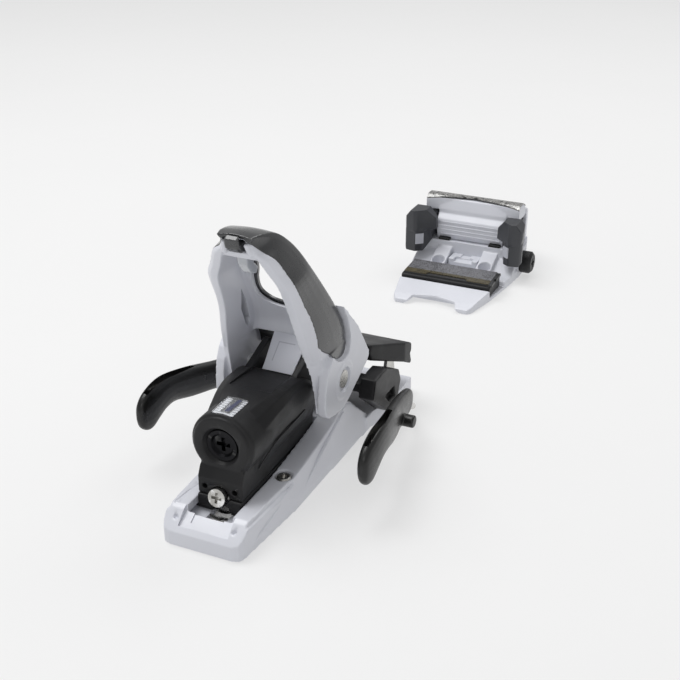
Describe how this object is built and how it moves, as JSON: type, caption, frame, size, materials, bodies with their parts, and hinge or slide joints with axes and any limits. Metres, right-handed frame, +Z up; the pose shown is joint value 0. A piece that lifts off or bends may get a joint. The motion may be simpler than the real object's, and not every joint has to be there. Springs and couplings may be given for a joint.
{
  "type": "alpine ski binding",
  "caption": "Step-in ski binding: toe piece with pivoting wings and sliding anti-friction plate, heel piece with arch lever, spring barrel, length-adjusting carriage and ski brake.",
  "frame": {"origin": "centre of the toe piece's rectangle of mounting holes, on the ski's top sheet", "axes": "+X to the right of the ski, +Y towards the ski's tip, +Z up from the top sheet"},
  "size_m": [0.156, 0.521, 0.1718],
  "materials": {
    "white_plastic": "semi-gloss moulded plastic",
    "black_plastic": "fine-grained moulded plastic",
    "grey_gloss": "glossy dark grey moulding",
    "wing_grey": "satin dark grey moulding",
    "light_inlay": "light grey low-friction pad",
    "zinc_steel": "bright zinc plating",
    "spring_steel": "oiled spring wire",
    "black_steel": "black oxide on steel",
    "stainless_wire": "polished stainless wire",
    "patterned_film": "glossy film with a marbled silver and black pattern",
    "silver_strip": "speckled silver low-friction coating",
    "bronze_strip": "grained bronze low-friction coating",
    "rubber_black": "soft black rubber",
    "clear_plastic": "clear polycarbonate",
    "smoke_plastic": "translucent pale grey plastic",
    "card_print": "white scale print with a dark blue bar",
    "indicator_navy": "dark blue indicator moulding"
  },
  "bodies": {
    "ski_mount": {"heel_base": "white_plastic", "heel_rack": "zinc_steel", "heel_screws": "zinc_steel", "wire_clips": "zinc_steel", "brake_block": "black_plastic", "pedal_bracket": "zinc_steel", "pedal_pin": "spring_steel", "toe_base": "white_plastic", "toe_housing": "white_plastic", "toe_roof": "patterned_film", "toe_bumpers": "rubber_black", "wing_pins": "spring_steel", "height_block": "white_plastic", "afd_carrier": "black_plastic", "toe_scale_card": "card_print", "toe_window": "clear_plastic"},
    "carriage": {"carriage_foot": "black_plastic", "heel_housing": "black_plastic", "front_panel": "white_plastic", "scale_card": "card_print", "scale_window": "clear_plastic", "cam_piston": "spring_steel", "lever_axle": "spring_steel", "axle_caps": "zinc_steel"},
    "length_adjuster": {"length_screw": "zinc_steel"},
    "heel_adjuster": {"release_screw": "black_steel"},
    "heel_indicator": {"release_nut": "indicator_navy", "release_spring": "spring_steel"},
    "heel_lever": {"lever_frame": "white_plastic", "lever_cover": "grey_gloss", "lever_grip": "grey_gloss", "lever_clip": "smoke_plastic", "heel_lip": "black_plastic"},
    "brake_arms": {"brake_wires": "stainless_wire", "brake_paddles": "black_plastic"},
    "brake_pedal": {"brake_pedal": "black_plastic"},
    "left_jaw": {"left_wing": "wing_grey", "left_inlay": "light_inlay"},
    "right_jaw": {"right_wing": "wing_grey", "right_inlay": "light_inlay"},
    "friction_plate": {"afd_slide": "black_plastic", "afd_front_strip": "silver_strip", "afd_rear_strip": "bronze_strip", "afd_latch": "rubber_black"},
    "toe_adjuster": {"toe_knob": "black_plastic", "toe_screw": "zinc_steel"},
    "toe_indicator": {"toe_nut": "indicator_navy", "toe_spring": "spring_steel"}
  },
  "joints": [
    {"name": "carriage_slide", "type": "slide", "parent": "ski_mount", "child": "carriage", "axis": [0, 1, 0], "range_m": [-0.006, 0.01]},
    {"name": "length_screw_turn", "type": "hinge", "parent": "carriage", "child": "length_adjuster", "pos_m": [0, -0.447, 0.024], "axis": [0, 0.9781, -0.2079], "range_deg": [-722, 722]},
    {"name": "heel_release_turn", "type": "hinge", "parent": "carriage", "child": "heel_adjuster", "pos_m": [0, -0.437, 0.0535], "axis": [0, 1, 0], "range_deg": [-540, 540]},
    {"name": "heel_indicator_slide", "type": "slide", "parent": "carriage", "child": "heel_indicator", "axis": [0, 1, 0], "range_m": [-0.0046, 0.0046]},
    {"name": "heel_lever_tilt", "type": "hinge", "parent": "carriage", "child": "heel_lever", "pos_m": [0, -0.355, 0.064], "axis": [1, 0, 0], "range_deg": [0, 45]},
    {"name": "brake_swing", "type": "hinge", "parent": "ski_mount", "child": "brake_arms", "pos_m": [0, -0.272, 0.0065], "axis": [1, 0, 0], "range_deg": [0, 50]},
    {"name": "pedal_lift", "type": "hinge", "parent": "ski_mount", "child": "brake_pedal", "pos_m": [0, -0.2545, 0.036], "axis": [1, 0, 0], "range_deg": [-16, 0.5]},
    {"name": "left_wing_turn", "type": "hinge", "parent": "ski_mount", "child": "left_jaw", "pos_m": [-0.0365, 0.008, 0.036], "axis": [0, 0, 1], "range_deg": [-30, 0], "stiffness_Nm_per_rad": 2},
    {"name": "right_wing_turn", "type": "hinge", "parent": "ski_mount", "child": "right_jaw", "pos_m": [0.0365, 0.008, 0.036], "axis": [0, 0, 1], "range_deg": [0, 30], "stiffness_Nm_per_rad": 2},
    {"name": "friction_plate_slide", "type": "slide", "parent": "ski_mount", "child": "friction_plate", "axis": [1, 0, 0], "range_m": [-0.008, 0.008], "stiffness_N_per_m": 400},
    {"name": "toe_release_turn", "type": "hinge", "parent": "ski_mount", "child": "toe_adjuster", "pos_m": [0.05, -0.003, 0.0125], "axis": [1, 0, 0], "range_deg": [-540, 540]},
    {"name": "toe_indicator_slide", "type": "slide", "parent": "ski_mount", "child": "toe_indicator", "axis": [1, 0, 0], "range_m": [-0.0046, 0.0046]}
  ],
  "couplings": [
    {"joint": "length_screw_turn", "follows": "carriage_slide", "rad_per_m": 1256.6},
    {"joint": "heel_indicator_slide", "follows": "heel_release_turn", "m_per_rad": 0.00047746},
    {"joint": "toe_indicator_slide", "follows": "toe_release_turn", "m_per_rad": 0.00047746},
    {"joint": "pedal_lift", "follows": "brake_swing", "ratio": -0.3}
  ]
}
